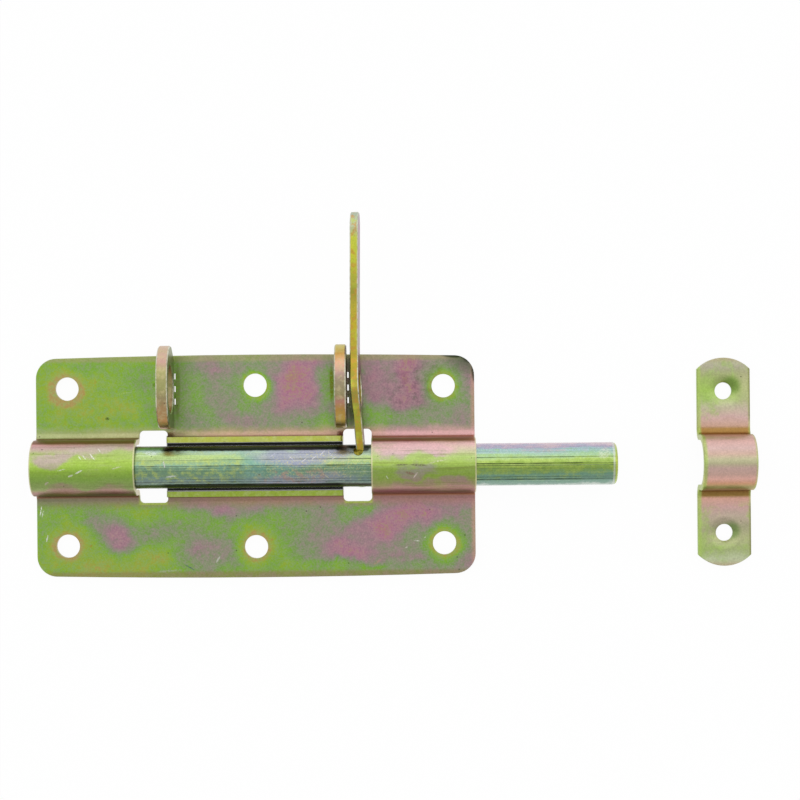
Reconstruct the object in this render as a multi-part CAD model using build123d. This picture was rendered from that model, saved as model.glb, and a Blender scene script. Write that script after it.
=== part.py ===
from build123d import *
import math
import os

# A padbolt of pressed sheet steel: a back plate with two half-round guides, two riveted
# padlock lugs, a round bolt bar, a flat handle and a separate strap keeper.
# Millimetres. X runs along the bar towards its tip, Y towards the lugs, Z out of the plate.
# The origin is the centre of the plate's back face, which lies on the door.

# Back plate
plate_length = 120.0
plate_end_width = 59.4
plate_edge_bow = 0.8
sheet = 1.5
plate_corner_radius = 5.5
plate_rim_bevel = 0.25
screw_hole_diameter = 6.4
screw_end_margin = 8.5
screw_edge_margin = 8.4

# Bolt bar
bar_diameter = 11.5
bar_lift = 0.25
bar_tip_past_plate = 38.2
bar_rear_inside_plate = 8.0
bar_end_round = 1.2

# Half-round guides pressed out of the plate's ends, and the window between them
guide_length = 28.2
guide_bar_gap = 0.35
front_bend_radius = 1.75
window_half_width = 9.9
window_corner_radius = 1.2

# Lips folded up beside the bar, with a notch at each end
notch_length = 7.8
lip_lean = 6.0
lip_height = 3.8
lip_corner_round = 0.8

# Padlock lugs
lug_thickness = 3.1
lug_guide_distance = 8.1
lug_width = 22.5
lug_height = 16.3
lug_overhang = 2.4
lug_shoulder_radius = 9.0
lug_foot_height = 5.6
lug_foot_inset = 3.4
lug_eye_diameter = 13.2
lug_eye_above_plate = 7.8
lug_eye_offset = -0.4
lug_rim_bevel = 0.3
tenon_length = 8.5
slot_end_gap = 0.25
relief_width = 0.4
relief_length = 1.6
reliefs_per_slot = 3
peen_spread = 0.5

# Flat handle
handle_thickness = 2.2
handle_guide_distance = 2.55
handle_lean = 2.8
handle_bend_past_eye = 5.75
handle_bend_shift = 1.5
handle_bend_radius = 200.0
handle_tip_shift = 0.75
handle_reach = 68.0
neck_width = 5.0
neck_rise_angle = 18.0
neck_bar_gap = 0.08
handle_eye_diameter = 10.0
handle_eye_width = 15.6
handle_plate_gap = 0.3
grip_width = 8.5
grip_rise = 5.0
handle_blend_radius = 6.0
handle_rim_bevel = 0.25

# Keeper
keeper_gap = 22.75
keeper_width = 14.5
keeper_length = 57.0
keeper_end_arc_radius = 10.0
keeper_hole_diameter = 4.65
keeper_hole_margin = 9.1
keeper_dish_width = 2.2
keeper_dish_depth = 0.7
keeper_rim_bevel = 0.25

# How near two coordinates lie to count as the same when an edge or corner is picked
same = 0.01

# Places worked out from the sizes above
bar_radius = bar_diameter / 2
bar_z = bar_radius + bar_lift
bar_tip_x = plate_length / 2 + bar_tip_past_plate
bar_rear_x = bar_rear_inside_plate - plate_length / 2
guide_inner_radius = bar_radius + guide_bar_gap
guide_outer_radius = guide_inner_radius + sheet
back_bend_radius = front_bend_radius + sheet
window_half_length = plate_length / 2 - guide_length
lip_length = 2 * (window_half_length - notch_length)
through_height = 4 * guide_outer_radius
plate_top_y = plate_end_width / 2 + plate_edge_bow
plate_edge_radius = ((plate_length / 2) ** 2 + plate_edge_bow**2) / (2 * plate_edge_bow)
screw_x = plate_length / 2 - screw_end_margin
lug_offset_x = window_half_length - lug_guide_distance
lug_far_y = plate_top_y + lug_overhang
lug_near_y = lug_far_y - lug_width
lug_eye_y = (lug_near_y + lug_far_y) / 2 + lug_eye_offset
lug_eye_z = sheet + lug_eye_above_plate
handle_root_x = window_half_length - handle_guide_distance
handle_eye_z = sheet + handle_plate_gap + handle_eye_width / 2
handle_bend_y = lug_eye_y + handle_bend_past_eye
keeper_x = bar_tip_x + keeper_gap + keeper_width / 2
keeper_hole_y = keeper_length / 2 - keeper_hole_margin


def near(vertices, x, y):
    """The corners of a flat outline that lie at plus or minus x, at height y."""
    return vertices.filter_by(lambda v: abs(abs(v.X) - abs(x)) < same and abs(v.Y - y) < same)


def edge_height(x):
    """Half width of the plate at x, on its bowed long edge."""
    return plate_top_y - plate_edge_radius + math.sqrt(plate_edge_radius**2 - x**2)


def arch_section(width):
    """Section of a flat strip with one half-round arch over the bar, bends included."""
    flat = Pos(0, sheet / 2) * Rectangle(width, sheet)
    top_half = Pos(0, bar_z + width / 2) * Rectangle(width, width)
    outside = Pos(0, bar_z / 2) * Rectangle(2 * guide_outer_radius, bar_z)
    outside += Pos(0, bar_z) * Circle(guide_outer_radius) & top_half
    inside = Pos(0, bar_z / 2) * Rectangle(2 * guide_inner_radius, bar_z)
    inside += Pos(0, bar_z) * Circle(guide_inner_radius) & top_half
    section = flat + outside - inside
    section = fillet(near(section.vertices(), guide_outer_radius, sheet), front_bend_radius)
    return fillet(near(section.vertices(), guide_inner_radius, 0), back_bend_radius)


def plate_outline():
    """Plan of the plate: its long edges bow outwards, because the arches draw its ends in."""
    half_x = plate_length / 2
    half_y = plate_end_width / 2
    edges = [
        ThreePointArc((-half_x, half_y), (0, plate_top_y), (half_x, half_y)),
        Line((half_x, half_y), (half_x, -half_y)),
        ThreePointArc((half_x, -half_y), (0, -plate_top_y), (-half_x, -half_y)),
        Line((-half_x, -half_y), (-half_x, half_y)),
    ]
    outline = make_face(edges)
    return fillet(outline.vertices(), plate_corner_radius)


def lip_section():
    """Section of the lip on the lug side: off the plate, round its bend and up past the bar."""
    lean = math.radians(lip_lean)
    rise = sheet + lip_height
    root_y = window_half_width + sheet
    bar_side = (guide_inner_radius + rise * math.tan(lean), rise)
    far_side = (bar_side[0] + sheet * math.cos(lean), bar_side[1] - sheet * math.sin(lean))
    heel = (far_side[0] - (far_side[1] - sheet) * math.tan(lean), sheet)
    corners = [(guide_inner_radius, 0), bar_side, far_side, heel, (root_y, sheet), (root_y, 0)]
    section = make_face(Polyline(*corners, close=True))
    section = fillet(near(section.vertices(), heel[0], sheet), front_bend_radius)
    return fillet(near(section.vertices(), guide_inner_radius, 0), back_bend_radius)


def make_lip():
    """One lip along the window, its two free corners rounded, and the webs in the notches' inner corners."""
    lip = extrude(Plane.YZ * lip_section(), lip_length / 2, both=True)
    top = sheet + lip_height - sheet * math.sin(math.radians(lip_lean))
    ends = lip.edges().filter_by(
        lambda e: abs(abs(e.center().X) - lip_length / 2) < same and e.center().Z > top - same
    )
    corners = [e for e in ends if abs(e.length - sheet) < same]
    lip = fillet(corners, lip_corner_round)
    web = extrude(Plane.YZ * lip_section(), lip_length / 2 + window_corner_radius, both=True)
    return lip + (web & Pos(0, window_half_width, 0) * Box(plate_length, 2 * window_corner_radius, through_height))


def screw_hole_places():
    """Plan positions of the six screw holes: four at the corners, two in the middle."""
    columns = (-screw_x, 0, screw_x)
    return [(x, side * (edge_height(x) - screw_edge_margin)) for x in columns for side in (-1, 1)]


def lug_slot(lug_x):
    """Cutter for a lug's slot: a close fit, with narrow reliefs beside the tenon on its +X side."""
    slot = Box(lug_thickness, tenon_length + 2 * slot_end_gap, sheet)
    step = (tenon_length - relief_length) / (reliefs_per_slot - 1)
    for i in range(reliefs_per_slot):
        y = i * step - (tenon_length - relief_length) / 2
        slot += Pos((lug_thickness + relief_width) / 2, y, 0) * Box(relief_width, relief_length, sheet)
    return Pos(lug_x, lug_eye_y, sheet / 2) * slot + peen_head(lug_x)


def peen_head(lug_x):
    """The flared foot of a tenon: it widens towards the back face at 45 degrees, except at the reliefs."""
    wide = Pos(-peen_spread / 2, 0) * Rectangle(lug_thickness + peen_spread, tenon_length + 2 * peen_spread)
    narrow = Pos(0, 0, peen_spread) * Rectangle(lug_thickness, tenon_length)
    return Pos(lug_x, lug_eye_y, 0) * loft([wide.face(), narrow.face()])


def bevel_front(strip, bevel):
    """Takes the sharp edge off a pressed strip's front face, all round its outline and arch."""
    middle_radius = (guide_inner_radius + guide_outer_radius) / 2

    def on_front_rim(edge):
        p = edge.position_at(0.5)
        along_x = abs(edge.tangent_at(0.5).X) > 1 - same and edge.geom_type == GeomType.LINE
        return p.Z > sheet - same and math.hypot(p.Y, p.Z - bar_z) > middle_radius and not along_x

    return chamfer(strip.edges().filter_by(on_front_rim), bevel)


def make_back_plate():
    """Plate, guides, window, lips, screw holes and lug slots, pressed from one sheet."""
    outline = extrude(plate_outline(), through_height, both=True)
    plate = extrude(Plane.YZ * arch_section(2 * plate_end_width), plate_length / 2, both=True) & outline
    plate = bevel_front(plate, plate_rim_bevel)
    window = Box(2 * window_half_length, 2 * window_half_width, 2 * through_height)
    plate -= fillet(window.edges().filter_by(Axis.Z), window_corner_radius)
    lip = make_lip()
    plate += lip
    plate += mirror(lip, about=Plane.XZ)
    notch = Box(notch_length - window_corner_radius, 2 * window_half_width, 2 * through_height)
    notch = Pos((lip_length + notch_length - window_corner_radius) / 2, 0, 0) * notch
    notch = fillet(notch.edges().filter_by(Axis.Z), window_corner_radius)
    plate -= notch
    plate -= mirror(notch, about=Plane.YZ)
    for x, y in screw_hole_places():
        plate -= Pos(x, y, 0) * Cylinder(screw_hole_diameter / 2, 4 * sheet)
    for side in (-1, 1):
        plate -= lug_slot(side * lug_offset_x)
    return plate


def lug_face():
    """Outline of a lug above the plate: round shoulders, and a foot sloped in on its outer side."""
    top = sheet + lug_height
    elbow_z = sheet + lug_foot_height
    corners = [
        (lug_near_y, sheet),
        (lug_near_y, top),
        (lug_far_y, top),
        (lug_far_y, elbow_z),
        (lug_far_y - lug_foot_inset, sheet),
    ]
    face = make_face(Polyline(*corners, close=True))
    face = fillet(face.vertices().filter_by(lambda v: v.Y > top - same), lug_shoulder_radius)
    return fillet(near(face.vertices(), lug_far_y, elbow_z), lug_foot_inset)


def make_lug(lug_x):
    """One padlock lug with its eye, and the tenon that is riveted through the plate."""
    lug = extrude(Plane.YZ * lug_face(), lug_thickness / 2, both=True)
    lug -= Pos(0, lug_eye_y, lug_eye_z) * Cylinder(lug_eye_diameter / 2, 3 * lug_thickness, rotation=(0, 90, 0))
    rims = lug.edges().filter_by(
        lambda e: abs(abs(e.center().X) - lug_thickness / 2) < same and e.center().Z > sheet + same
    )
    lug = chamfer(rims, lug_rim_bevel)
    lug += Pos(0, lug_eye_y, sheet / 2) * Box(lug_thickness, tenon_length, sheet)
    return Pos(lug_x, 0, 0) * lug + peen_head(lug_x)


def make_bolt_bar():
    """Round drawn bar with both ends rounded over."""
    bar = Cylinder(bar_radius, bar_tip_x - bar_rear_x, rotation=(0, 90, 0))
    bar = fillet(bar.edges().filter_by(GeomType.CIRCLE), bar_end_round)
    return Pos((bar_tip_x + bar_rear_x) / 2, 0, bar_z) * bar


def strip_between(start, end, width):
    """A flat strip with round ends, its middle line running from start to end."""
    run = Vector(*end) - Vector(*start)
    middle = (Vector(*end) + Vector(*start)) * 0.5
    turn = math.degrees(math.atan2(run.Y, run.X))
    return Pos(middle.X, middle.Y) * Rot(0, 0, turn) * SlotCenterToCenter(run.length, width)


def handle_face():
    """Outline of the handle: a narrow neck off the bar, a wide padlock eye and a straight grip."""
    rise = math.radians(neck_rise_angle)
    neck_run = lug_eye_y / math.cos(rise)
    neck_end = (neck_run * math.cos(rise), bar_z + neck_run * math.sin(rise))
    grip_end = (handle_reach - grip_width / 2, handle_eye_z + grip_rise)
    eye = (lug_eye_y, handle_eye_z)
    face = Pos(*eye) * Circle(handle_eye_width / 2)
    face += strip_between(eye, grip_end, grip_width)
    face += strip_between((0, bar_z), neck_end, neck_width) - Pos(*neck_end) * Circle(neck_width)
    hollows = face.vertices().filter_by(lambda v: bar_radius < v.X < handle_reach - grip_width)
    face = fillet(hollows, handle_blend_radius)
    return face - Pos(*eye) * Circle(handle_eye_diameter / 2)


def handle_plan():
    """The strip on edge, seen from above: two straight runs with a slight bend past the eye."""
    root = Vector(handle_root_x, 0)
    bend = Vector(handle_root_x - handle_bend_shift, handle_bend_y)
    tip = Vector(handle_root_x - handle_tip_shift, handle_reach)
    start = root - (bend - root).normalized() * neck_width
    end = tip + (tip - bend).normalized() * neck_width
    path = FilletPolyline(start, bend, end, radius=handle_bend_radius)
    return trace(path, handle_thickness)


def make_handle():
    """Flat handle: its stamped outline carried through the bent strip, then leant over on the bar."""
    side = extrude(Plane.YZ * handle_face(), 2 * handle_root_x)
    handle = extrude(handle_plan(), 2 * handle_reach) & side
    rims = handle.edges().filter_by(
        lambda e: e.length > 1.2 * handle_thickness and e.bounding_box().size.Z > same
    )
    handle = chamfer(rims, handle_rim_bevel)
    root = Pos(handle_root_x, 0, bar_z)
    handle = root * Rot(0, -handle_lean, 0) * root.inverse() * handle
    saddle = Cylinder(bar_radius + neck_bar_gap, 2 * bar_tip_x, rotation=(0, 90, 0))
    return handle - Pos(0, 0, bar_z) * saddle


def make_keeper():
    """Strap keeper: one arch between two feet with dished screw holes and arc-shaped ends."""
    half_x = keeper_width / 2
    half_y = keeper_length / 2
    arc_drop = keeper_end_arc_radius - math.sqrt(keeper_end_arc_radius**2 - half_x**2)
    corner_y = half_y - arc_drop
    outline = make_face(
        [
            ThreePointArc((-half_x, corner_y), (0, half_y), (half_x, corner_y)),
            Line((half_x, corner_y), (half_x, -corner_y)),
            ThreePointArc((half_x, -corner_y), (0, -half_y), (-half_x, -corner_y)),
            Line((-half_x, -corner_y), (-half_x, corner_y)),
        ]
    )
    keeper = extrude(Plane.YZ * arch_section(2 * keeper_length), keeper_width, both=True)
    keeper = bevel_front(keeper & extrude(outline, through_height, both=True), keeper_rim_bevel)
    for side in (-1, 1):
        keeper -= Pos(0, side * keeper_hole_y, 0) * dished_hole()
    return Pos(keeper_x, 0, 0) * keeper


def dished_hole():
    """Cutter for a keeper's screw hole, with a shallow dish that runs out level with the front face."""
    hole_radius = keeper_hole_diameter / 2
    rim = (hole_radius + keeper_dish_width, sheet)
    floor = (hole_radius, sheet - keeper_dish_depth)
    edges = [
        TangentArc(rim, floor, tangent=(-1, 0)),
        Line(floor, (0, floor[1])),
        Line((0, floor[1]), (0, sheet)),
        Line((0, sheet), rim),
    ]
    dish = revolve(Plane.XZ * make_face(edges), Axis.Z)
    return Cylinder(hole_radius, 4 * sheet) + dish


os.makedirs("parts", exist_ok=True)
export_step(make_back_plate(), "parts/back_plate.step")
export_step(make_lug(-lug_offset_x), "parts/left_lug.step")
export_step(make_lug(lug_offset_x), "parts/right_lug.step")
export_step(make_bolt_bar(), "parts/bolt_bar.step")
export_step(make_handle(), "parts/flat_handle.step")
export_step(make_keeper(), "parts/keeper.step")
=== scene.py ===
import math

import bpy
import numpy as np
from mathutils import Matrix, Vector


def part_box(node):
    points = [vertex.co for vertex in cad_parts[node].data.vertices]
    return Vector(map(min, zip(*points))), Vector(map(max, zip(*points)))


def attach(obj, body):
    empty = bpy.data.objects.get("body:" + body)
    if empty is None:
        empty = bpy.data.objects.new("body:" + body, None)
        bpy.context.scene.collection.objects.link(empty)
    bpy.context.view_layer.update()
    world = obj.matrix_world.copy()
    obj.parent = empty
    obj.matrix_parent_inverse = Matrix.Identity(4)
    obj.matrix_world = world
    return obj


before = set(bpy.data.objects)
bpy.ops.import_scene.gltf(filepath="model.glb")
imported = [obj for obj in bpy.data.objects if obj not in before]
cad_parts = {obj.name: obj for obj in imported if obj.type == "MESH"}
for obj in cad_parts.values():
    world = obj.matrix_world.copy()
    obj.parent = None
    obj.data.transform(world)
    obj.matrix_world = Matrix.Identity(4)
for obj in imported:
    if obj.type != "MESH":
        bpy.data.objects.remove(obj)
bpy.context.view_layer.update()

MM = 0.001


def box_mm(node):
    """Lowest and highest corner of a CAD node, in millimetres."""
    low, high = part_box(node)
    return np.array(low) / MM, np.array(high) / MM


plate_high = box_mm("back_plate")[1]
bar_low, bar_high = box_mm("bolt_bar")
handle_low, handle_high = box_mm("flat_handle")
keeper_low, keeper_high = box_mm("keeper")
plate_end = plate_high[0]
bar_tip = bar_high[0]
bar_radius = (bar_high[2] - bar_low[2]) / 2
bar_z = (bar_low[2] + bar_high[2]) / 2
arch_radius = plate_high[2] - bar_z
keeper_x = (keeper_low[0] + keeper_high[0]) / 2

# Places on the plate and the lugs that no box tells, in millimetres
SHEET = 1.5
PLATE_END_EDGE = 29.7
WINDOW_END = 31.8
WINDOW_HALF_WIDTH = 9.9
NOTCH_MIDDLE = 28.1
NOTCH_HALF_LENGTH = 3.8
LIP_HALF_LENGTH = 24.0
LIP_TOP = 5.3
LUG_EYE_TOP = 15.9

# Middle along the bar of the shade between the lips
SHADE_MIDDLE = -0.3

# Half depth of a flat patch of colour, so large that the patch has no end in depth
PATCH_DEPTH = 1000.0


def linear(hex_colour):
    """The linear colour of an sRGB hex value: each channel by the sRGB curve."""
    channels = [int(hex_colour[i : i + 2], 16) / 255 for i in (1, 3, 5)]
    return tuple(c / 12.92 if c <= 0.04045 else ((c + 0.055) / 1.055) ** 2.4 for c in channels) + (1.0,)


def add(tree, kind, inputs=(), out=0, stops=(), **settings):
    """Adds a node with its settings and links, and gives the output named by out, or all for None.

    inputs are values or links by socket, and stops are the places and colours of a ramp.
    """
    node = tree.nodes.new(kind)
    for key, value in settings.items():
        setattr(node, key, value)
    for socket, value in dict(inputs).items():
        if isinstance(value, bpy.types.NodeSocket):
            tree.links.new(value, node.inputs[socket])
        else:
            node.inputs[socket].default_value = value
    for index, (place, colour) in enumerate(stops):
        elements = node.color_ramp.elements
        element = elements[index] if index < 2 else elements.new(place)
        element.position = place
        element.color = linear(colour)
    return node.outputs if out is None else node.outputs[out]


# Colours of the chromate film as it thickens
FILM_COLOURS = (
    (0.00, "#B29C5C"),
    (0.08, "#A2AE46"),
    (0.18, "#8EB434"),
    (0.30, "#7EAE42"),
    (0.42, "#80A05A"),
    (0.52, "#899772"),
    (0.62, "#968C80"),
    (0.72, "#A47E8C"),
    (0.84, "#B67A92"),
    (0.94, "#B07F7A"),
    (1.00, "#B48862"),
)


class Film:
    """One piece's chromate film: its coordinates and clouds, in millimetres from the frame's origin."""

    def __init__(self, name, wander=5.0):
        self.material = bpy.data.materials.new(name)
        self.material.use_nodes = True
        self.tree = tree = self.material.node_tree
        tree.nodes.clear()
        coords = add(tree, "ShaderNodeTexCoord", out=None)
        self.mm = add(tree, "ShaderNodeVectorMath", {0: coords["Object"], "Scale": 1 / MM}, operation="SCALE")
        self.x, self.y, self.z = add(tree, "ShaderNodeSeparateXYZ", {0: self.mm}, out=None)
        self.facing = add(tree, "ShaderNodeSeparateXYZ", {0: coords["Normal"]}, out=None)
        # How far a point is from the plate's middle, whichever side it is on
        self.off_x = add(tree, "ShaderNodeMath", {0: self.x}, operation="ABSOLUTE")
        self.off_y = add(tree, "ShaderNodeMath", {0: self.y}, operation="ABSOLUTE")
        # Soft clouds of 26, 7 and 1.6 mm, and a drift of 9 mm that bends every border
        clouds = {"Vector": self.mm, "Scale": 1 / 26, "Detail": 3.0}
        self.clouds = add(tree, "ShaderNodeTexNoise", clouds)
        small = {"Vector": self.mm, "Scale": 1 / 7, "Detail": 5.0, "Roughness": 0.6}
        self.small = add(tree, "ShaderNodeTexNoise", small)
        fine = {"Vector": self.mm, "Scale": 1 / 1.6, "Detail": 4.0, "Roughness": 0.7}
        self.fine = add(tree, "ShaderNodeTexNoise", fine)
        drift = {"Vector": self.mm, "Scale": 1 / 9, "Detail": 4.0}
        drift = add(tree, "ShaderNodeTexNoise", drift, out="Color")
        self.drift = add(tree, "ShaderNodeVectorMath", {0: drift, 1: (0.5, 0.5, 0.5)}, operation="SUBTRACT")
        self.bent = self.moved(2 * wander)
        # Streaks left along X by rolling and drawing, about 29 mm long and 1.1 mm wide
        lengthwise = {"Vector": self.mm, "Scale": (0.035, 0.9, 0.9)}
        lengthwise = add(tree, "ShaderNodeMapping", lengthwise, vector_type="POINT")
        streaks = {"Vector": lengthwise, "Scale": 1.0, "Detail": 4.0, "Roughness": 0.7}
        self.streaks = add(tree, "ShaderNodeTexNoise", streaks)
        # Grain of the rolled steel under the plating, drawn as coarse as shows: eleven grains in 5 mm
        grain = {"Vector": self.mm, "Scale": 11 / 5, "Detail": 3.0, "Roughness": 0.7}
        self.grain = add(tree, "ShaderNodeTexNoise", grain)

    def moved(self, far):
        """The coordinates shifted by the drift, so that what is drawn on them gets wavy borders."""
        shift = add(self.tree, "ShaderNodeVectorMath", {0: self.drift, "Scale": far}, operation="SCALE")
        return add(self.tree, "ShaderNodeVectorMath", {0: self.mm, 1: shift}, operation="ADD")

    def total(self, *terms):
        """The sum of plain values and (value, weight) pairs."""
        result = 0.0
        for term in terms:
            value, weight = term if isinstance(term, tuple) else (term, 1.0)
            result = {0: value, 1: weight, 2: result}
            result = add(self.tree, "ShaderNodeMath", result, operation="MULTIPLY_ADD")
        return result

    def apart(self, value, place):
        """How far a value is from a place, whichever side it is on."""
        return add(self.tree, "ShaderNodeMath", {0: self.total(value, -place)}, operation="ABSOLUTE")

    def within(self, *limits):
        """The share in which all the limits hold, as their product.

        A limit is a share, or (value, start, end) or (value, start, end, low, high): low, which is
        0 if not given, where the value is at start, high, or else 1, at end, and smooth between.
        """
        result = None
        for limit in limits:
            if isinstance(limit, tuple):
                value, start, end, low, high = (*limit, 0.0, 1.0)[:5]
                limit = {0: value, 1: start, 2: end, 3: low, 4: high}
                limit = add(self.tree, "ShaderNodeMapRange", limit, interpolation_type="SMOOTHSTEP")
            if result is not None:
                limit = add(self.tree, "ShaderNodeMath", {0: result, 1: limit}, operation="MULTIPLY")
            result = limit
        return result

    def coats(self, colour, *coats):
        """A colour and the coats over it. A coat is its own colour and the limits it lies within."""
        for paint, *limits in coats:
            under, over = (linear(c) if isinstance(c, str) else c for c in (colour, paint))
            share = self.within(*limits)
            colour = add(self.tree, "ShaderNodeMix", {0: share, 6: under, 7: over}, out=2, data_type="RGBA")
        return colour

    def striped(self, place, first, second, share):
        """Colours along a place: the first stops where the share is 0, the second where it is 1."""
        under = add(self.tree, "ShaderNodeValToRGB", {0: place}, stops=first)
        over = add(self.tree, "ShaderNodeValToRGB", {0: place}, stops=second)
        return self.coats(under, (over, share))

    def spot(self, x, y, half_length, half_width, vector=None, full=0.6, high=1.0, angle=0.0):
        """A soft oval patch with its length along X, turned by an angle in degrees.

        It fades from 0 at its rim to high, which it reaches at the share full of the way in.
        """
        oval = {
            "Vector": vector or self.bent,
            "Location": (x, y, 0),
            "Rotation": (0, 0, math.radians(angle)),
            "Scale": (half_length, half_width, PATCH_DEPTH),
        }
        place = add(self.tree, "ShaderNodeMapping", oval, vector_type="TEXTURE")
        ball = {"Vector": place}
        ball = add(self.tree, "ShaderNodeTexGradient", ball, out="Fac", gradient_type="SPHERICAL")
        return self.within((ball, 0.0, full, 0.0, high))

    def pull(self, value, share, target):
        """A value moved towards the target by the share."""
        change = add(self.tree, "ShaderNodeMath", {0: target, 1: value}, operation="SUBTRACT")
        return add(self.tree, "ShaderNodeMath", {0: share, 1: change, 2: value}, operation="MULTIPLY_ADD")

    def clouded(self, thickness, patches=(), halos=(), mottle=1.0):
        """The film's colours at its thickness, which starts from a base value between 0 and 1.

        patches: x, y, half length, half width in mm, thickness, share.
        halos round holes: x, y, outer radius, how far in it gets full, thickness, share.
        mottle: how strongly the clouds stir it. Each cloud lies about 0.5, which comes off again.
        """
        for x, y, half_length, half_width, target, share in patches:
            patch = self.spot(x, y, half_length, half_width, full=0.8, high=share)
            thickness = self.pull(thickness, patch, target)
        soft = (self.clouds, 0.3 * mottle), (self.small, 0.55 * mottle)
        thickness = self.total(thickness, *soft, -0.425 * mottle)
        near = self.moved(3.0)
        for x, y, radius, full, target, share in halos:
            thickness = self.pull(thickness, self.spot(x, y, radius, radius, near, full, share), target)
        crisp = (self.fine, 0.44 * mottle), (self.grain, 0.36 * mottle)
        thickness = self.total(thickness, *crisp, -0.4 * mottle)
        thickness = add(self.tree, "ShaderNodeClamp", {0: thickness, 1: 0.0, 2: 1.0})
        return add(self.tree, "ShaderNodeValToRGB", {0: thickness}, stops=FILM_COLOURS)

    def marks(self, colour, marks):
        """Scratches, scuffs and other small marks, painted shade among them: x, y, half length, half width in
        mm, angle, colour and share.
        """
        near = self.moved(0.8)
        broken = self.within((self.grain, 0.36, 0.5))
        for x, y, half_length, half_width, angle, paint, share in marks:
            mark = self.spot(x, y, half_length, half_width, near, 0.5, share, angle)
            colour = self.coats(colour, (paint, mark, broken))
        return colour

    def finish(self, colour, roughness=0.34):
        """Adds the steel's grain and dark specks of 0.3 mm, and makes the satin metal."""
        tree = self.tree
        stir = self.total((self.grain, 0.7), (self.fine, 0.3))
        shade = add(tree, "ShaderNodeMapRange", {0: stir, 1: 0.32, 2: 0.68, 3: 0.83, 4: 1.16})
        colour = add(tree, "ShaderNodeVectorMath", {0: colour, "Scale": shade}, operation="SCALE")
        specks = add(tree, "ShaderNodeTexVoronoi", {"Vector": self.mm, "Scale": 1 / 5}, out="Distance")
        speck = add(tree, "ShaderNodeMapRange", {0: specks, 1: 0.03, 2: 0.055, 3: 0.45, 4: 1.0})
        colour = add(tree, "ShaderNodeVectorMath", {0: colour, "Scale": speck}, operation="SCALE")
        gloss = {0: self.small, 1: 0.3, 2: 0.7, 3: roughness - 0.03, 4: roughness + 0.05}
        gloss = add(tree, "ShaderNodeMapRange", gloss)
        # The grain stands 0.03 mm high
        bump = {"Height": self.grain, "Strength": 0.25, "Distance": 0.03 * MM}
        bump = add(tree, "ShaderNodeBump", bump)
        metal = {"Base Color": colour, "Metallic": 1.0, "Roughness": gloss, "Normal": bump}
        surface = add(tree, "ShaderNodeBsdfPrincipled", metal)
        add(tree, "ShaderNodeOutputMaterial", {"Surface": surface}, out=None)
        return self.material


# Film on the plate, upper half and lower half: x, y, half length, half width in mm, thickness, share
UPPER_PATCHES = (
    (-42, 20, 28, 17, 0.19, 0.95),
    (-36, 24, 13, 6, 0.30, 0.7),
    (-45, 29, 15, 3, 0.36, 0.7),
    (-51, 12.5, 13, 3, 0.10, 0.4),
    (-18, 18, 6, 13, 0.40, 0.7),
    (-10, 28, 11, 6, 0.72, 0.7),
    (-11, 20, 5, 8, 0.66, 0.5),
    (-4, 13, 11, 4, 0.74, 0.8),
    (-3, 22, 9, 6, 0.48, 0.5),
    (12, 22, 17, 13, 0.84, 0.9),
    (14, 27, 9, 5, 0.92, 0.5),
    (20.5, 22, 5, 9, 0.38, 0.95),
    (18, 10.5, 10, 3.5, 0.34, 0.7),
    (38, 24, 15, 11, 0.84, 0.85),
    (41.5, 26, 5, 6, 0.99, 0.8),
    (41, 13.5, 17, 4.5, 0.42, 0.85),
    (31, 12, 7, 5, 0.32, 0.75),
    (50, 13, 10, 3.5, 0.66, 0.6),
    (52, 27, 9, 4, 0.62, 0.6),
)
LOWER_PATCHES = (
    (-50, -14, 11, 7, 0.18, 0.7),
    (-40, -15, 13, 6, 0.64, 0.8),
    (-37, -19, 9, 7, 0.86, 0.85),
    (-26, -17, 9, 5, 0.66, 0.6),
    (-47, -11, 10, 3, 0.44, 0.5),
    (-45, -28, 22, 4, 0.12, 0.7),
    (-29, -26, 17, 6, 0.18, 0.85),
    (-28, -12, 9, 5, 0.22, 0.7),
    (-14, -24, 10, 7, 0.72, 0.75),
    (-12, -11.5, 18, 3.5, 0.76, 0.85),
    (-9, -17, 14, 4, 0.40, 0.7),
    (4, -16, 15, 6, 0.26, 0.85),
    (6, -22, 9, 9, 0.22, 0.8),
    (14, -13, 11, 4, 0.48, 0.6),
    (18, -20, 8, 5, 0.64, 0.6),
    (28, -11.5, 8, 6, 0.27, 0.85),
    (25, -23, 10, 5, 0.84, 0.85),
    (33, -17, 13, 7, 0.82, 0.9),
    (44, -14, 11, 5, 0.88, 0.8),
    (41, -22, 9, 5, 0.48, 0.7),
    (30, -28, 32, 3, 0.32, 0.8),
    (54, -11, 9, 5, 0.76, 0.85),
    (8, -28, 22, 3, 0.20, 0.7),
    (56.5, -18, 4, 9, 0.5, 0.6),
)

# Film round the screw holes: x, y, outer radius, how far in it gets full, thickness, share
HOLE_HALOS = (
    (-52, 21, 8.0, 0.5, 0.14, 0.9),
    (-52, 21, 5.8, 0.3, 0.0, 0.9),
    (0, 22, 6.5, 0.5, 0.28, 0.8),
    (0, 22, 4.8, 0.3, 0.12, 0.8),
    (51.5, 21.5, 8.0, 0.6, 0.32, 0.85),
    (51.5, 21.5, 5.0, 0.3, 0.12, 0.9),
    (-51.5, -21.5, 8.0, 0.5, 0.12, 0.8),
    (-51.5, -21.5, 4.8, 0.3, 0.0, 0.9),
    (0, -22, 7.5, 0.4, 0.12, 0.8),
    (0, -22, 4.9, 0.3, 0.02, 0.9),
    (51.5, -21.5, 7.5, 0.5, 0.25, 0.95),
    (51.5, -21.5, 4.9, 0.3, 0.06, 0.9),
)
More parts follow.
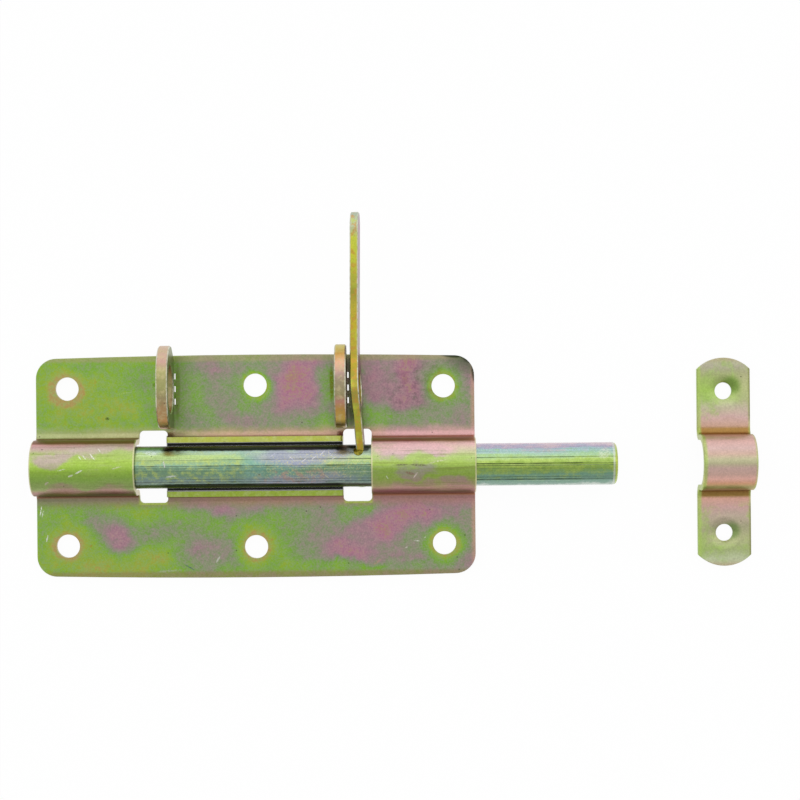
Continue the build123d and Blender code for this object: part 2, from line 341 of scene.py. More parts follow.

# Run-off colours beside the bends from left to right, above and below the guides, partly painted
# light: the upper band paler with a painted highlight, the lower band darker with painted shade
UPPER_BAND = (
    (0.00, "#AFB482"),
    (0.30, "#B8AE86"),
    (0.42, "#C4A088"),
    (0.70, "#CBA090"),
    (0.82, "#D6A5A6"),
    (1.00, "#D8A6A6"),
)
LOWER_BAND = (
    (0.00, "#88806A"),
    (0.25, "#947A70"),
    (0.50, "#A67E6C"),
    (0.75, "#A57C74"),
    (1.00, "#A87C78"),
)

# Colours across a guide, from its lower flank over the crown to its upper flank. The pale pinks
# high on the upper flank are partly a painted highlight from the lugs' side, and the dark browns at
# both ends are painted shade in the bends.
LEFT_GUIDE = (
    (0.00, "#A0706A"),
    (0.06, "#B8908A"),
    (0.14, "#98A86C"),
    (0.30, "#8CAE52"),
    (0.46, "#98BC4A"),
    (0.60, "#A8C858"),
    (0.78, "#B0C478"),
    (0.88, "#C4A8A2"),
    (0.95, "#D0A09E"),
    (1.00, "#A87068"),
)
LEFT_GUIDE_CLOUD = (
    (0.00, "#A0706A"),
    (0.10, "#B08A84"),
    (0.30, "#98A070"),
    (0.50, "#A8A088"),
    (0.70, "#C0B0A4"),
    (0.86, "#C6B4AA"),
    (0.95, "#D0A09E"),
    (1.00, "#A87068"),
)
RIGHT_GUIDE = (
    (0.00, "#9A6A55"),
    (0.06, "#BC8A88"),
    (0.16, "#A0A068"),
    (0.30, "#92AE4E"),
    (0.44, "#94B052"),
    (0.56, "#A8C460"),
    (0.68, "#B4CC7C"),
    (0.80, "#D0C8A8"),
    (0.92, "#E8C0BC"),
    (1.00, "#D89C8E"),
)
RIGHT_GUIDE_CLOUD = (
    (0.00, "#9A6A55"),
    (0.06, "#C08C8A"),
    (0.20, "#A88C80"),
    (0.36, "#A09684"),
    (0.50, "#9A9A88"),
    (0.60, "#B0A89C"),
    (0.74, "#D8B8B8"),
    (0.90, "#ECBEBE"),
    (1.00, "#D89C8E"),
)

# Clouds of thicker film on the guides: x, y, half length, half width in mm, share
GUIDE_CLOUDS = (
    (-54, 3.2, 8, 3.0, 0.9),
    (-44, 4.6, 10, 2.4, 0.7),
    (-46, -6.5, 14, 2.0, 0.7),
    (-52, -2.5, 4, 1.5, 0.3),
    (39, 4.0, 7, 3.0, 0.9),
    (47, 4.8, 9, 3.0, 1.0),
    (44, -1.5, 7, 3.0, 0.8),
    (41, -5.6, 9, 2.0, 0.8),
    (54, -5.5, 7, 2.0, 0.8),
)

# Scratches, scuffs, dark runs of film, and painted shade beside the lugs: x, y, half length,
# half width in mm, angle, colour, share
PLATE_MARKS = (
    (-42.9, 3.2, 1.3, 0.22, -50, "#E6E8DC", 0.9),
    (-45.0, 3.1, 0.9, 0.2, -50, "#E6E8DC", 0.8),
    (-46.2, 2.9, 0.7, 0.2, -50, "#E6E8DC", 0.7),
    (-41.2, 4.8, 0.8, 0.2, -55, "#E6E8DC", 0.7),
    (-51.0, -0.2, 1.4, 0.22, 8, "#E0E0D2", 0.6),
    (-46.4, -0.9, 1.4, 0.3, 30, "#E6E8DC", 0.8),
    (-48.6, -1.9, 0.9, 0.3, 20, "#DCDCCE", 0.7),
    (-55.2, -3.9, 0.8, 0.4, 35, "#C8B4AC", 0.7),
    (-36.5, 0.2, 1.8, 0.22, 15, "#D4CCC0", 0.5),
    (40.0, 0.4, 2.2, 0.35, 3, "#6E6A52", 0.8),
    (44.5, 0.3, 2.8, 0.4, -4, "#6E6A52", 0.8),
    (36.0, -2.9, 0.7, 0.22, -60, "#E2E6D2", 0.8),
    (43.6, -2.4, 1.2, 0.22, 55, "#DCC8C0", 0.8),
    (42.2, -1.8, 1.5, 0.5, -15, "#8A5A50", 0.6),
    (49.5, 1.2, 3.0, 0.3, 12, "#D8D2B8", 0.6),
    (-58.9, -11.8, 1.7, 0.22, 80, "#E4E6E0", 0.9),
    (-58.4, -12.6, 1.2, 0.2, 80, "#E4E6E0", 0.7),
    (-57.2, -19.4, 1.3, 0.25, 78, "#D8DAD4", 0.8),
    (-18.3, -27.7, 2.0, 0.25, -30, "#4E6070", 0.8),
    (-45.4, -21.5, 0.5, 0.3, 60, "#B06A3C", 0.8),
    (-24.0, -28.6, 4.0, 0.4, 4, "#B8B4A8", 0.35),
    # Dark olive beside the lugs and between the right lug and the handle: thicker film with painted shade
    (20.9, 22.5, 6.0, 0.7, 90, "#6C7A10", 0.9),
    (26.3, 20.0, 12.0, 1.3, 90, "#46522A", 0.7),
    (-21.2, 20.0, 9.0, 1.0, 90, "#667A2C", 0.6),
    (-40.5, 13.3, 0.7, 0.5, 0, "#4E5A30", 0.9),
    (-8.2, 6.5, 0.6, 0.5, 0, "#4E3A20", 0.7),
    (-27.5, 22.5, 0.7, 0.6, 0, "#4E5A30", 0.8),
    (-35.5, 20.3, 3.0, 0.25, 8, "#B0C090", 0.35),
    (-10.5, -25.5, 1.4, 0.3, 60, "#C8CCC0", 0.6),
    (44.0, -20.8, 0.9, 0.25, -10, "#DCDCD0", 0.7),
    (46.2, -19.9, 0.5, 0.2, 50, "#DCDCD0", 0.6),
    (41.0, -22.6, 0.5, 0.2, 20, "#DCDCD0", 0.6),
    (33.0, -26.5, 1.6, 0.3, 35, "#B89080", 0.6),
)


def plate_zinc():
    """Zinc-plated sheet with yellow chromate passivation, pressed before it was plated in a barrel.

    The film's thickness decides the colour: lime where it is thin, round the holes and on the left,
    and mauve to pink where it is thick. It runs in stripes along the bends. The eye sees a satin
    sheet with blurred clouds of colour, a darker brown line of painted shade in each bend and pale barrel
    scratches.
    """
    film = Film("passivated zinc on pressed sheet")
    # 0 on the bar's lower side and 1 on the lugs' side
    upper = film.within((film.y, -1, 1))
    # The film gets thicker to the right in two steps
    steps = film.within((film.x, -45, 8, 0, 0.26)), film.within((film.x, 10, 40, 0, 0.1))
    thickness = film.total(0.26, *steps)
    flecks = film.total((film.fine, 0.5), (film.grain, 0.5))
    long_edge = film.total(film.off_y, (film.fine, 0.8))
    right_edge = film.total(film.x, (film.fine, 0.8))
    colour = film.coats(
        film.clouded(thickness, UPPER_PATCHES + LOWER_PATCHES, HOLE_HALOS),
        # A dull veil over the colours, in flecks, and a dusky patch round the upper right hole
        ("#93967E", (flecks, 0.4, 0.6, 0.0, 0.4)),
        ("#6C5456", film.spot(44, 22, 17, 11, full=0.9), (film.fine, 0.3, 0.6, 0.5, 0.1)),
        # Thicker film along the outer edges
        (
            film.coats("#94805C", ("#A3A070", upper)),
            (long_edge, PLATE_END_EDGE - 1.1, PLATE_END_EDGE, 0, 0.6),
        ),
        ("#C29A84", (right_edge, plate_end - 1.1, plate_end, 0, 0.6)),
    )
    # How far out from the bar's axis a point is, with the upper bend half a millimetre further in
    from_bar = film.total(film.off_y, (upper, 0.5))
    on_guide = film.within(
        (film.off_x, WINDOW_END - 0.8, WINDOW_END - 0.2), (film.off_y, arch_radius + 0.4, arch_radius)
    )
    guide_ends = film.total(
        film.within((film.off_x, WINDOW_END + 0.5, WINDOW_END + 0.15)),
        film.within((film.off_x, plate_end - 0.5, plate_end - 0.15)),
    )
    colour = bends_and_guides(film, colour, upper, from_bar, on_guide)
    colour = lips_and_notches(film, colour, upper, from_bar)
    # The guides' ends are pale: a painted edge highlight, with wear
    colour = film.coats(colour, ("#DCD4AE", guide_ends, on_guide, 0.75))
    # The corner that hung lowest in the bath, with the thickest film at its very rim
    near = film.moved(1.5)
    rim_spots = (56, 30.2, 7, 1.5), (60.6, 26, 1.6, 5), (59, 29.5, 3, 2.5)
    rim = film.total(*(film.spot(*spot, near) for spot in rim_spots))
    colour = film.coats(
        colour,
        ("#4C5A40", film.spot(59.5, 30.5, 10, 8, near, full=0.7, high=0.75)),
        ("#1E2A18", (rim, 0.0, 0.8, 0.0, 0.8)),
    )
    return film.finish(film.marks(colour, PLATE_MARKS))


def bends_and_guides(film, colour, upper, from_bar, on_guide):
    """The run-off band beside each bend, partly painted light, the guides' stripes, and a brown line of
    painted shade where the sheet turns up.
    """
    right = film.within((film.x, -20, 20))
    along = film.total((film.x, 0.5 / plate_end), 0.5, (film.small, 0.3), -0.15)
    band = film.striped(along, LOWER_BAND, UPPER_BAND, upper)
    wavy_out = film.total(from_bar, (film.small, 3.0), -1.5)
    # The guides: stripes along the sheet's arch, and clouds over them
    bent_y = add(film.tree, "ShaderNodeSeparateXYZ", {0: film.bent}, out="Y")
    across = film.total((film.y, 0.5 / arch_radius), 0.5, (bent_y, 0.02), (film.y, -0.02))
    bare = film.striped(across, LEFT_GUIDE, RIGHT_GUIDE, right)
    cloudy = film.striped(across, LEFT_GUIDE_CLOUD, RIGHT_GUIDE_CLOUD, right)
    spots = (film.spot(*spot, high=high) for *spot, high in GUIDE_CLOUDS)
    cloud = film.total(*spots, (film.streaks, 1.6), (film.fine, 1.0), (film.small, 0.6), -1.6)
    guide = film.coats(
        bare,
        (cloudy, (cloud, -0.1, 1.1)),
        ("#7A7448", (film.streaks, 0.47, 0.34, 0.0, 0.4)),
    )
    return film.coats(
        colour,
        (band, (wavy_out, arch_radius + 4.6, arch_radius + 1.2, 0, 0.9)),
        (guide, on_guide),
        # Painted shade: a brown line in each bend, where the sheet turns up
        (
            film.coats("#8C6450", ("#A87458", right)),
            (from_bar, arch_radius + 1.1, arch_radius + 0.5),
            (from_bar, arch_radius - 0.7, arch_radius - 0.3),
        ),
    )


def lips_and_notches(film, colour, upper, from_bar):
    """The lips' cut edges, painted shade on their faces beside the bar, and thin rims round the notches."""
    towards_bar = film.within(film.facing["Y"], (film.y, -1, 1, -1.0, 1.0))
    beside_window = film.within((film.off_x, WINDOW_END - 0.8, WINDOW_END - 1.8))
    beside_bar = film.within((film.off_y, WINDOW_HALF_WIDTH - 0.9, WINDOW_HALF_WIDTH - 1.3))
    from_notch = film.apart(film.off_x, NOTCH_MIDDLE)
    cut_edge = film.coats("#9DB445", ("#AEB652", upper), ("#B4BC84", (film.fine, 0.4, 0.7, 0, 0.5)))
    return film.coats(
        colour,
        (cut_edge, beside_window, (film.z, LIP_TOP - 1.7, LIP_TOP - 0.9)),
        # Painted shade: hardly any light comes between lip and bar, so the lips' faces towards it are near
        # black
        ("#171510", (towards_bar, -0.3, -0.7), beside_window, beside_bar),
        # Lime below the bar and dark above it
        (
            film.coats("#AABF4E", ("#5A5A2C", upper)),
            (from_bar, WINDOW_HALF_WIDTH + 0.7, WINDOW_HALF_WIDTH + 0.3),
            (from_notch, NOTCH_HALF_LENGTH + 0.5, NOTCH_HALF_LENGTH - 0.5),
            (film.z, 2 * SHEET, SHEET + 0.5),
            (film.y, -1, 1, 0.7, 0.25),
        ),
    )


# Colours along the keeper: lower foot, crease, loop, crease, upper foot. The creases' dark browns
# are painted shade.
KEEPER = (
    (0.0, "#C2C4A2"),
    (0.035, "#BCC69E"),
    (0.079, "#A8B47E"),
    (0.132, "#B8BA8C"),
    (0.184, "#AAA686"),
    (0.237, "#C0AE9C"),
    (0.28, "#CAA6A0"),
    (0.325, "#D5A695"),
    (0.337, "#977942"),
    (0.36, "#8A6838"),
    (0.372, "#B8A060"),
    (0.384, "#A8A068"),
    (0.404, "#D09C7C"),
    (0.425, "#F0BCAE"),
    (0.447, "#D4B0A2"),
    (0.474, "#D2B2A8"),
    (0.5, "#B6B28E"),
    (0.518, "#BEBA96"),
    (0.544, "#CCAE9E"),
    (0.57, "#D0B2AC"),
    (0.6, "#DCB4AC"),
    (0.625, "#D0A89C"),
    (0.634, "#A07840"),
    (0.66, "#A8824C"),
    (0.672, "#CDA791"),
    (0.71, "#D2B0A9"),
    (0.763, "#BEBD9A"),
    (0.807, "#A9C272"),
    (0.85, "#ADC96A"),
    (0.92, "#A9B07C"),
    (0.956, "#B4AF98"),
    (1.0, "#BFC29A"),
)


def keeper_zinc():
    """The same plating on the keeper's strap, thinner and paler: bands along it, lime on its edges."""
    film = Film("passivated zinc on keeper strap")
    half_length = keeper_high[1]
    half_width = keeper_high[0] - keeper_x
    in_foot = film.within((film.off_y, 10.0, 13.0))
    off = film.total(film.x, -keeper_x)
    crisp = film.total((film.y, 0.5 / half_length), 0.5)
    stirred = film.total(crisp, (film.small, 0.05), -0.025, (film.fine, 0.03), -0.015)
    bands = add(film.tree, "ShaderNodeValToRGB", {0: film.pull(crisp, in_foot, stirred)}, stops=KEEPER)
    flecks = film.total((film.small, 0.7), (film.fine, 0.3))
    edges = film.total(
        film.within((off, 1.35 - half_width, 0.55 - half_width, 0, 0.75)),
        film.within((off, half_width - 0.85, half_width - 0.15, 0, 0.5)),
    )
    near = film.moved(1.2)
    colour = film.coats(
        bands,
        ("#9DBE5C", (flecks, 0.47, 0.62, 0, 0.55), in_foot),
        ("#CDB2AA", (film.clouds, 0.5, 0.7, 0, 0.5), in_foot),
        ("#ACC66A", edges),
        # Painted shade in the holes' dishes, dark green towards their upper right
        ("#72943E", film.spot(keeper_x + 2.2, 20.8, 3.6, 3.4, near, high=0.8)),
        ("#6E8C48", film.spot(keeper_x + 1.8, -19.0, 3.4, 3.2, near, high=0.75)),
        # Worn ends, and darker down the right edges of the feet
        ("#B49C80", (film.off_y, half_length - 1.7, half_length - 0.2, 0, 0.5)),
        ("#7E7450", (off, half_width - 0.75, half_width - 0.15, 0, 0.7), in_foot),
    )
    return film.finish(colour)


def rim_bands(film, wander, low, high, stops):
    """Colours along a blanked rim, from the bar's side outwards, with borders that wander."""
    wavy_y = add(film.tree, "ShaderNodeSeparateXYZ", {0: film.moved(wander)}, out="Y")
    place = film.within((wavy_y, low[1], high[1]))
    return add(film.tree, "ShaderNodeValToRGB", {0: place}, stops=stops)


def blanked(film, rim, face, wear_and_highlight):
    """A blanked piece: one colour on its rim, another on its side faces, bevels pale with wear and painted
    highlight.
    """
    sideways = add(film.tree, "ShaderNodeMath", {0: film.facing["X"]}, operation="ABSOLUTE")
    on_bevel = (sideways, 0.35, 0.6), (sideways, 0.95, 0.8)
    return film.coats(
        rim,
        (face, (sideways, 0.55, 0.85)),
        (wear_and_highlight, *on_bevel, (film.fine, 0.35, 0.55, 0.25, 0.85)),
    )


# Rim colours of the lugs, from the bar's side outwards
LEFT_LUG_RIM = (
    (0.00, "#C89460"),
    (0.14, "#BC986C"),
    (0.32, "#9C8E68"),
    (0.52, "#A0A068"),
    (0.75, "#B2AC76"),
    (0.88, "#CCA498"),
    (1.00, "#D8BCA2"),
)
RIGHT_LUG_RIM = (
    (0.00, "#C8A850"),
    (0.12, "#C49650"),
    (0.25, "#C48C7C"),
    (0.38, "#988E68"),
    (0.58, "#A09278"),
    (0.72, "#BA9A90"),
    (0.88, "#E8B494"),
    (0.96, "#D2A65A"),
    (1.00, "#D2C468"),
)


def lug_zinc(node, name, rim_stops, face_shade):
    """The same plating on a lug: its blanked rim in bands of colour, its faces duller with painted shade."""
    film = Film(name)
    rim = film.coats(
        rim_bands(film, 4.0, *box_mm(node), rim_stops),
        ("#C8BA8E", (film.fine, 0.5, 0.6, 0, 0.45)),
        ("#8A8A60", (film.grain, 0.52, 0.66, 0, 0.5)),
        # The wall of the eye is pinkish
        ("#C09A92", (film.z, LUG_EYE_TOP + 0.3, LUG_EYE_TOP - 0.3), (film.facing["Z"], 0.2, -0.1)),
    )
    # Painted shade on the side faces: dull olive, darker on the right lug
    face = film.coats(film.clouded(0.45), (face_shade, 0.6))
    return film.finish(blanked(film, rim, face, "#DAD6C4"))


# Rim colours of the handle, from its root to its tip
HANDLE_RIM = (
    (0.00, "#B4A636"),
    (0.06, "#B8B848"),
    (0.13, "#B0A04E"),
    (0.22, "#A69C44"),
    (0.30, "#BCA23C"),
    (0.38, "#CCBA48"),
    (0.55, "#D4C040"),
    (0.66, "#CCBC48"),
    (0.74, "#A8A446"),
    (0.80, "#BCBA4C"),
    (0.88, "#D4D446"),
    (0.965, "#DCE052"),
    (0.995, "#B9C6B4"),
)


def handle_zinc():
    """The same plating on the handle: yellow where the strip's rim faces up, mauve on its faces."""
    film = Film("passivated zinc on handle strip")
    rim = film.coats(
        rim_bands(film, 3.0, handle_low, handle_high, HANDLE_RIM),
        ("#CE9648", (film.fine, 0.48, 0.6, 0, 0.7)),
        ("#929638", (film.grain, 0.5, 0.62, 0, 0.55)),
        ("#C8D452", (film.small, 0.5, 0.62, 0, 0.6)),
    )
    return film.finish(blanked(film, rim, film.clouded(0.66), "#D6DCC8"))


# Colours across the bar, from its lower side to its upper: right of the guides, and in the window.
# The pale ends right of the guides are painted reflections of the white table, and the darker ends
# in the window are painted shade of the lips.
BAR_TIP = (
    (0.00, "#C8D2C8"),
    (0.08, "#82A092"),
    (0.24, "#7CA48A"),
    (0.38, "#8AA85C"),
    (0.50, "#98B454"),
    (0.62, "#B2CC70"),
    (0.74, "#A6CAA0"),
    (0.84, "#A6C4C8"),
    (0.92, "#B8AEC6"),
    (1.00, "#D6C0C8"),
)
BAR_MIDDLE = (
    (0.00, "#6A6E5C"),
    (0.10, "#7C9088"),
    (0.17, "#86A09A"),
    (0.30, "#7E9C80"),
    (0.42, "#7CA080"),
    (0.52, "#92B69A"),
    (0.62, "#A6BE7E"),
    (0.74, "#BED892"),
    (0.84, "#B0CCB8"),
    (0.93, "#96ACA0"),
    (1.00, "#7C7A66"),
)

# Dark lines along the bar: height across it from -1 to 1, half width, share
DARK_LINES = (
    (0.36, 0.03, 0.7),
    (0.07, 0.045, 0.85),
    (-0.02, 0.03, 0.7),
    (-0.17, 0.02, 0.3),
    (-0.56, 0.03, 0.5),
    (-0.68, 0.05, 0.75),
    (0.62, 0.02, 0.25),
)

# Scratches and worn spots: x, y, half length, half width in mm, angle, colour, share
BAR_MARKS = (
    (-23.8, 1.0, 1.3, 0.3, -75, "#C8C6C2", 0.8),
    (-22.0, -2.3, 1.8, 0.3, 4, "#DCE0E0", 0.7),
    (-27.5, 4.0, 2.4, 0.7, -4, "#D8E0E2", 0.5),
    (10.2, 2.5, 1.3, 0.16, -40, "#DCD8E4", 0.6),
    (13.6, 1.9, 1.1, 0.16, 35, "#DCD8E4", 0.6),
    (16.4, 2.4, 1.5, 0.16, 38, "#DCD8E4", 0.55),
    (18.8, 3.6, 1.2, 0.2, 45, "#DCD8E4", 0.65),
    (20.8, 3.2, 1.0, 0.2, -50, "#DCD8E4", 0.6),
    (21.4, 2.0, 1.0, 0.16, 30, "#DCD8E4", 0.5),
    (5.2, 3.2, 1.2, 0.16, 40, "#CAC6DA", 0.5),
    (16.0, -2.2, 1.2, 0.16, -42, "#CAC6A0", 0.5),
    (19.5, -2.6, 1.4, 0.16, -38, "#CAC6A0", 0.5),
    (94.5, 3.0, 2.2, 1.6, 20, "#CCD4C0", 0.6),
)


def bar_zinc():
    """The same plating on bright drawn bar: teal, lime and lilac over silver, in blots and streaks.

    Dark lines run along it. Its upper flanks carry painted shade beside the lips, and its rims right of
    the guides painted reflections of the white table. The eye sees a shinier metal than the sheet's.
    """
    film = Film("passivated zinc on drawn bar", wander=3.0)
    blots = film.total((film.streaks, 0.35), (film.fine, 0.22), (film.small, 0.3), -0.435)
    across = film.total((film.y, 0.5 / bar_radius), 0.5, blots)
    past_window = film.within((film.x, WINDOW_END - 0.8, WINDOW_END + 3.2))
    flecks = film.total((film.fine, 0.5), (film.small, 0.3), (film.streaks, 0.2))
    lilac = film.total(film.spot(14, 3.2, 20, 3.6), film.spot(13, -3.6, 18, 2.4, high=0.7))
    colour = film.coats(
        film.striped(across, BAR_MIDDLE, BAR_TIP, past_window),
        # Teal and yellow at the left of the window, then lilac, sand and rose
        ("#7FB0A4", film.spot(2, 0.5, 16, 5), (film.small, 0.4, 0.6, 0.7, 0.1)),
        (
            "#BFCB68",
            (flecks, 0.46, 0.62, 0, 0.75),
            (film.off_y, 5.0, 3.4, 0.1, 1.0),
            (film.x, 6, -6, 0.35, 1.0),
        ),
        ("#A4A2BE", lilac, 0.8),
        ("#C2BC80", film.spot(17, 0, 22, 6), (film.grain, 0.52, 0.62, 0, 0.65)),
        ("#B08C86", film.spot(11, -2.5, 14, 3), (film.fine, 0.48, 0.6, 0, 0.6)),
    )
    height = film.total((film.y, 1 / bar_radius), (film.streaks, 0.06), -0.03)
    uneven = film.within((film.small, 0.35, 0.6, 0.4, 1.0))
    for place, half_width, share in DARK_LINES:
        line = (film.apart(height, place), half_width, half_width / 3, 0, share)
        colour = film.coats(colour, ("#26301E", line, uneven))
    flank = film.total(film.off_y, (film.streaks, 0.5), (film.fine, 0.5))
    near = film.moved(0.8)
    root = film.total(film.spot(28.3, 5.7, 4.4, 1.9, near), film.spot(30.4, 5.2, 1.6, 1.8, near))
    # Scratches of drawing, 50 mm long, and a quarter of a millimetre wide so that they show
    scratches = {"Vector": film.mm, "Scale": (1 / 50, 1 / 0.25, 1 / 0.25)}
    scratches = add(film.tree, "ShaderNodeMapping", scratches, vector_type="POINT")
    scratches = {"Vector": scratches, "Scale": 1.0, "Detail": 3.0, "Roughness": 0.7}
    scratches = add(film.tree, "ShaderNodeTexNoise", scratches)
    colour = film.coats(
        colour,
        # Painted shade: beside the lips the bar's upper flanks are painted dark, and so is a spot by the
        # handle's root
        (
            "#0A0E06",
            (flank, bar_radius - 1.0, bar_radius - 0.6, 0.0, 0.95),
            (film.apart(film.x, SHADE_MIDDLE), LIP_HALF_LENGTH + 1.5, LIP_HALF_LENGTH - 1.0),
            (film.z, bar_z - 0.6, bar_z + 0.3),
        ),
        ("#1E1A10", (root, 0.0, 1.0, 0.0, 0.85)),
        ("#3C4A34", (scratches, 0.42, 0.32, 0, 0.35)),
        ("#DCE6D8", (scratches, 0.58, 0.68, 0, 0.3)),
        # The rounded end: a pale ring, painted highlight on the rounding's edge, and yellow film on the cut
        # face
        ("#D8DCCC", (film.x, bar_tip - 1.5, bar_tip - 1.2), (film.x, bar_tip - 0.7, bar_tip - 1.0), 0.6),
        ("#C0CC5C", (film.x, bar_tip - 0.9, bar_tip - 0.6, 0, 0.8)),
    )
    return film.finish(film.marks(colour, BAR_MARKS), roughness=0.25)


def tang_zinc():
    """The same plating, thin and lime, mottled over the hammered end of the handle's tang."""
    film = Film("passivated zinc on peened tang")
    return film.finish(film.clouded(0.25, mottle=1.6))


# Colours of the burr round the handle's root, from its dark pits up
SEAT_COLOURS = (
    (0.00, "#2E2810"),
    (0.35, "#6A6424"),
    (0.60, "#9C9238"),
    (1.00, "#C4B458"),
)


def seat_zinc():
    """The same plating pooled in the burr round the handle's root: olive yellow with dark pits."""
    film = Film("passivated zinc round handle seat")
    pits = film.total((film.fine, 2.0), -0.5)
    return film.finish(add(film.tree, "ShaderNodeValToRGB", {0: pits}, stops=SEAT_COLOURS))


def assign(node, material):
    """Puts one material on every slot of a CAD node."""
    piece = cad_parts[node]
    if not piece.data.materials:
        piece.data.materials.append(material)
    for index in range(len(piece.data.materials)):
        piece.data.materials[index] = material


def closed_piece(name, rings, material):
    """An own piece that rides on the handle: a smooth closed skin over rings of points in millimetres.

    Each ring joins the next one in a band of quads that runs all the way round. The first and the
    last ring close in fans of triangles on their own middle points.
    """
    rows, columns = rings.shape[:2]
    poles = rings[[0, -1]].mean(axis=1)
    points = np.concatenate([rings.reshape(-1, 3), poles])
    here = np.arange(columns)
    after = np.roll(here, -1)
    row = columns * np.arange(rows - 1)[:, None]
    bands = np.stack([row + here, row + after, row + after + columns, row + here + columns], axis=-1)
    last = columns * (rows - 1)
    first_pole = np.full(columns, columns * rows)
    first_fan = np.stack([first_pole, after, here], axis=-1)
    last_fan = np.stack([first_pole + 1, last + here, last + after], axis=-1)
    faces = first_fan.tolist() + last_fan.tolist() + bands.reshape(-1, 4).tolist()
    mesh = bpy.data.meshes.new(name)
    mesh.from_pydata((points * MM).tolist(), [], faces)
    mesh.polygons.foreach_set("use_smooth", [True] * len(mesh.polygons))
    mesh.materials.append(material)
    piece = bpy.data.objects.new(name, mesh)
    bpy.context.scene.collection.objects.link(piece)
    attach(piece, "handle")


def swelling(centre_x, centre_angle, half_length, half_angle, height, power):
    """Rings of points of a swelling that lies on the bar, whose height falls off towards its rim.

    r is the distance from its middle as a share of its half length along the bar and its half angle
    round it. The height is (1 - r squared) to a power, on a rim 0.02 mm high. The rings go out from
    the middle to the rim, and back under it, 0.01 mm above the bar's surface.
    """
    rings_out, ring_points = 20, 48
    way = np.linspace(0, 2, 2 * rings_out + 1)[1:-1, None]
    r = np.where(way < 1, way, 2 - way)
    turn = np.linspace(0, 2 * np.pi, ring_points, endpoint=False)[None, :]
    x = centre_x + half_length * r * np.cos(turn)
    angle = np.radians(centre_angle + half_angle * r * np.sin(turn))
    lift = np.where(way <= 1, 0.02 + height * (1 - r**2) ** power, 0.01)
    radius = bar_radius + lift + 0 * turn
    return np.stack([x, radius * np.cos(angle), bar_z + radius * np.sin(angle)], axis=-1)


def make_floor():
    """White table at the plate's back face, with painted shade only in the closed window between lips and
    bar.
    """
    half = 1.5
    drop = 0.2 * MM
    white_level = 0.96
    window_level = 0.01
    window_half_length = (LIP_HALF_LENGTH + 0.4) * MM
    window_half_width = 8.5 * MM
    mesh = bpy.data.meshes.new("table")
    corners = [(-half, -half, -drop), (half, -half, -drop), (half, half, -drop), (-half, half, -drop)]
    mesh.from_pydata(corners, [], [(0, 1, 2, 3)])
    table = bpy.data.objects.new("table", mesh)
    bpy.context.scene.collection.objects.link(table)
    material = bpy.data.materials.new("white table")
    material.use_nodes = True
    tree = material.node_tree
    tree.nodes.clear()
    white = add(tree, "ShaderNodeEmission", {"Color": (1, 1, 1, 1), "Strength": 1.0})
    path = add(tree, "ShaderNodeLightPath", out=None)
    coords = add(tree, "ShaderNodeTexCoord", out="Object")
    window = {
        "Vector": coords,
        "Location": (SHADE_MIDDLE * MM, 0, 0),
        "Scale": (window_half_length, window_half_width, 1),
    }
    window = add(tree, "ShaderNodeMapping", window, vector_type="TEXTURE")
    window = add(tree, "ShaderNodeVectorMath", {0: window}, operation="ABSOLUTE")
    off = add(tree, "ShaderNodeSeparateXYZ", {0: window}, out=None)
    furthest = add(tree, "ShaderNodeMath", {0: off["X"], 1: off["Y"]}, operation="MAXIMUM")
    # Painted shade inside the window, over a soft border in the last 1.5 percent of its size
    lit = {0: furthest, 1: 0.985, 2: 1.0, 3: window_level, 4: white_level}
    lit = add(tree, "ShaderNodeMapRange", lit)
    # The camera sees the table lit, the metal mirrors it white, and all else sees it matt
    seen = add(tree, "ShaderNodeMath", {0: path["Is Camera Ray"], 1: lit}, operation="MULTIPLY")
    mirrored = add(tree, "ShaderNodeMath", {0: path["Is Glossy Ray"], 1: white_level}, operation="MULTIPLY")
    share = add(tree, "ShaderNodeMath", {0: seen, 1: mirrored}, operation="MAXIMUM")
    matt = add(tree, "ShaderNodeBsdfDiffuse", {"Color": lit})
    surface = add(tree, "ShaderNodeMixShader", {0: share, 1: matt, 2: white})
    # From behind the table is clear, so that the plate's back can be seen
    behind = add(tree, "ShaderNodeNewGeometry", out="Backfacing")
    clear = add(tree, "ShaderNodeBsdfTransparent")
    surface = add(tree, "ShaderNodeMixShader", {0: behind, 1: surface, 2: clear})
    add(tree, "ShaderNodeOutputMaterial", {"Surface": surface}, out=None)
    mesh.materials.append(material)


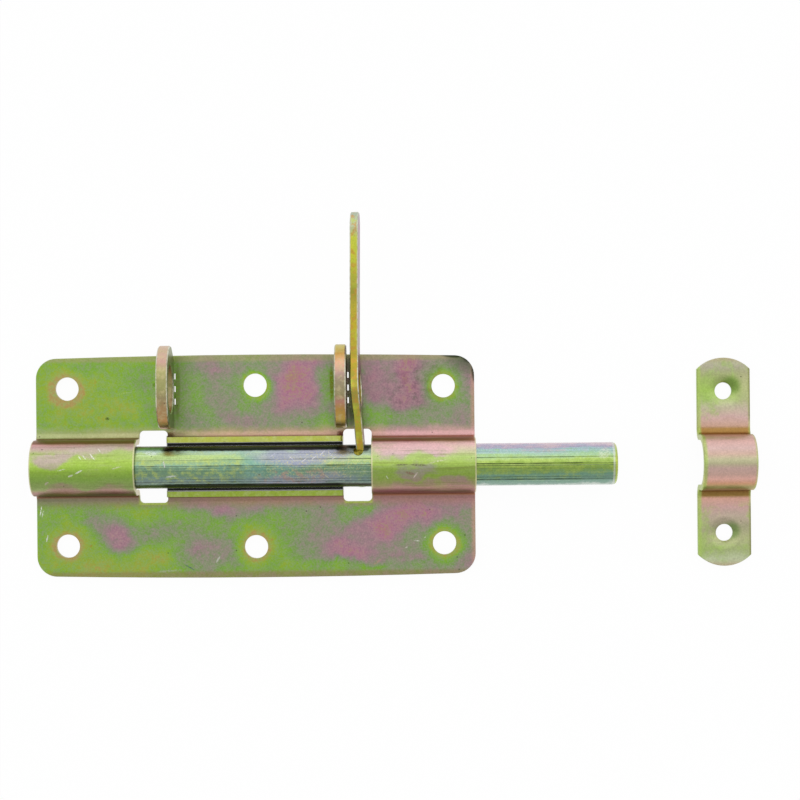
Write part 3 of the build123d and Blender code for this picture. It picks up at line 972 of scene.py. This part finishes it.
def make_light():
    """Soft studio light: a wide pale ceiling, brighter on the lugs' side than on the other."""
    world = bpy.data.worlds.new("studio")
    bpy.context.scene.world = world
    world.use_nodes = True
    tree = world.node_tree
    tree.nodes.clear()
    direction = add(tree, "ShaderNodeTexCoord", out="Generated")
    side = add(tree, "ShaderNodeSeparateXYZ", {0: direction}, out="Y")
    level = {0: side, 1: -0.25, 2: 0.15, 3: 0.72, 4: 1.15}
    level = add(tree, "ShaderNodeMapRange", level, interpolation_type="SMOOTHSTEP")
    seen = add(tree, "ShaderNodeLightPath", out="Is Camera Ray")
    level = add(tree, "ShaderNodeMix", {0: seen, 2: level, 3: 1.0}, data_type="FLOAT")
    background = add(tree, "ShaderNodeBackground", {"Color": (1, 1, 1, 1), "Strength": level})
    add(tree, "ShaderNodeOutputWorld", {"Surface": background}, out=None)


def make_camera():
    """The photograph's view: straight down on the plate, over a point right of and above its centre."""
    place_mm = np.array((39.65, 17.7, 532.5))
    roll = math.radians(-0.52)
    data = bpy.data.cameras.new("camera")
    data.sensor_width = 36.0
    data.lens = 87.3
    data.clip_start = 0.01
    camera = bpy.data.objects.new("camera", data)
    camera.location = place_mm * MM
    camera.rotation_euler = (0, 0, roll)
    bpy.context.scene.collection.objects.link(camera)
    bpy.context.scene.camera = camera


assign("back_plate", plate_zinc())
assign("keeper", keeper_zinc())
assign("left_lug", lug_zinc("left_lug", "passivated zinc on left lug", LEFT_LUG_RIM, "#8E8C5E"))
assign("right_lug", lug_zinc("right_lug", "passivated zinc on right lug", RIGHT_LUG_RIM, "#6A6E3C"))
assign("flat_handle", handle_zinc())
assign("bolt_bar", bar_zinc())

# The handle's root lies right of the middle of its box, because the handle leans
root_x = (handle_low[0] + handle_high[0]) / 2 + 0.9
closed_piece("peened_tang", swelling(root_x, 198, 1.8, 17, 0.28, 1.0), tang_zinc())
closed_piece("handle_seat", swelling(root_x - 0.8, 44, 1.3, 16, 0.22, 0.6), seat_zinc())

make_floor()
make_light()
make_camera()
bpy.context.scene.view_settings.view_transform = "Standard"
